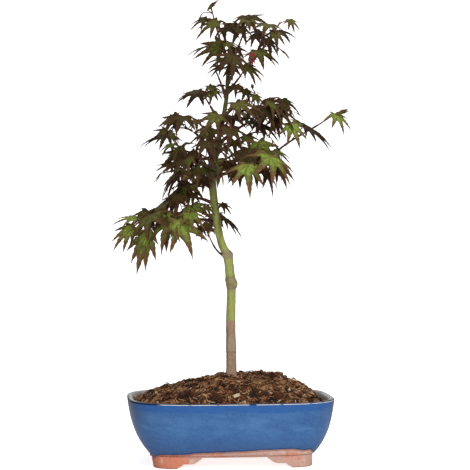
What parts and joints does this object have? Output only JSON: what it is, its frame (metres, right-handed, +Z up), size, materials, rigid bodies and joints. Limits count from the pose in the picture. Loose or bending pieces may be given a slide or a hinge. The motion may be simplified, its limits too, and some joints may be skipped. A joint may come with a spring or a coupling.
{
  "type": "japanese maple bonsai in a glazed pot",
  "caption": "Young palmate-leaved maple with a bare lower stem and tiers of drooping leaves, standing in a blue glazed footed pot filled with coarse potting mix.",
  "frame": {"origin": "under the middle of the whole plant's box, at the level the pot's feet stand on", "axes": "+Z up the trunk, X along the pot's long side with +X to the viewer's right, -Y towards the viewer"},
  "size_m": [0.2898, 0.2148, 0.5572],
  "materials": {
    "glaze": "glossy blue glaze, terracotta bare clay on the foot ring",
    "potting_mix": "loose fibres and bark chips, matt",
    "bark": "smooth green bark, grey-brown near the soil",
    "young_bark": "smooth reddish young bark",
    "leaves": "satin green leaf flushed with bronze"
  },
  "bodies": {
    "root": {"pot": "glaze", "soil": "potting_mix", "trunk": "bark", "bough_top_right": "young_bark", "bough_far_right": "young_bark", "bough_upper_left": "young_bark", "bough_low_left": "young_bark", "bough_mid_left": "young_bark", "bough_right_front": "young_bark", "bough_right_upper": "young_bark", "bough_right_middle": "young_bark", "bough_twig_left": "young_bark", "bough_left_hanging": "young_bark", "bough_left_back": "young_bark", "bough_knob_twig": "young_bark", "bough_low_right": "young_bark", "bough_front_middle": "young_bark", "bough_mid_left_front": "young_bark", "bough_mid_left_back": "young_bark", "bough_right_back": "young_bark", "bough_back_middle": "young_bark", "bough_front_upper": "young_bark", "bough_back_upper": "young_bark", "bough_crown_left": "young_bark", "bough_crown_right": "young_bark", "bough_top_middle": "young_bark", "foliage_leader": "leaves", "foliage_top_right": "leaves", "foliage_far_right": "leaves", "foliage_upper_left": "leaves", "foliage_low_left": "leaves", "foliage_mid_left": "leaves", "foliage_right_front": "leaves", "foliage_right_upper": "leaves", "foliage_right_middle": "leaves", "foliage_twig_left": "leaves", "foliage_left_hanging": "leaves", "foliage_left_back": "leaves", "foliage_knob_twig": "leaves", "foliage_low_right": "leaves", "foliage_front_middle": "leaves", "foliage_mid_left_front": "leaves", "foliage_mid_left_back": "leaves", "foliage_right_back": "leaves", "foliage_back_middle": "leaves", "foliage_front_upper": "leaves", "foliage_back_upper": "leaves", "foliage_crown_left": "leaves", "foliage_crown_right": "leaves", "foliage_top_middle": "leaves"}
  },
  "joints": []
}
